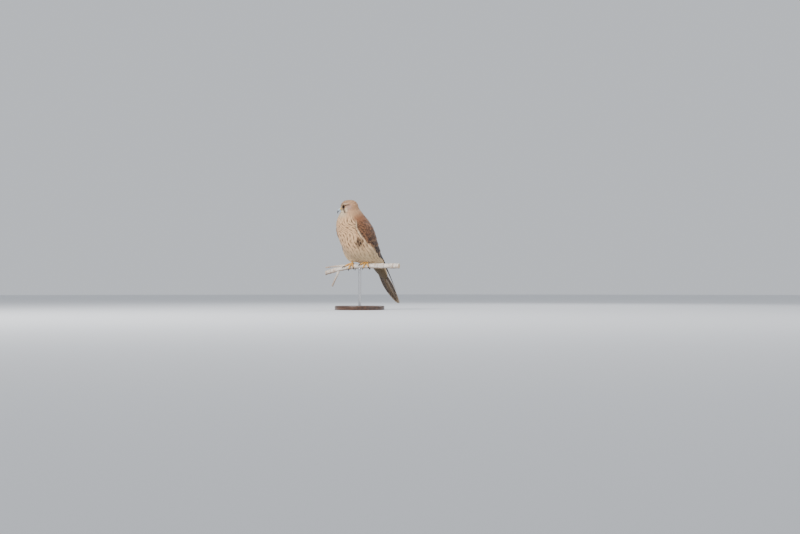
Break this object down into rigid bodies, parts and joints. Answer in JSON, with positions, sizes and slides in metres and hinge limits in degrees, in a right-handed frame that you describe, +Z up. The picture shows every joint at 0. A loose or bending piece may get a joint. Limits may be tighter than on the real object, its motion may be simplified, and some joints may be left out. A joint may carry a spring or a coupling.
{
  "type": "perched kestrel model",
  "caption": "Life-size still model of a female common kestrel on a cut length of birch branch, held over a flat round base by one short rod.",
  "frame": {"origin": "centre of the base's underside", "axes": "+Z up; -Y the way the bird's breast faces; +X towards the bird's left side"},
  "size_m": [0.2018, 0.2276, 0.3161],
  "materials": {
    "plumage": "soft body feathers, buff with brown streaks and spots",
    "flight": "overlapping wing feathers, rufous brown barred black, dark brown towards the tips",
    "tail": "long tail feathers, brown with fine dark bars",
    "bill": "blue-grey horn, dark at the tip",
    "cere": "waxy yellow skin",
    "eye": "glossy dark brown",
    "foot": "yellow scaled skin",
    "claw": "black horn",
    "bark": "pale papery birch bark with dark cross marks",
    "rod": "satin steel",
    "base": "dark stained wood, satin"
  },
  "bodies": {
    "root": {"head": "plumage", "cere": "cere", "bill_upper": "bill", "bill_lower": "bill", "eye_left": "eye", "eye_right": "eye", "neck": "plumage", "torso": "plumage", "wing_left": "flight", "wing_right": "flight", "tail": "tail", "thigh_left": "plumage", "thigh_right": "plumage", "foot_left": "foot", "foot_right": "foot", "claw_left_inner": "claw", "claw_left_middle": "claw", "claw_left_outer": "claw", "claw_left_hind": "claw", "claw_right_inner": "claw", "claw_right_middle": "claw", "claw_right_outer": "claw", "claw_right_hind": "claw", "perch_branch": "bark", "stand_rod": "rod", "stand_base": "base"}
  },
  "joints": []
}
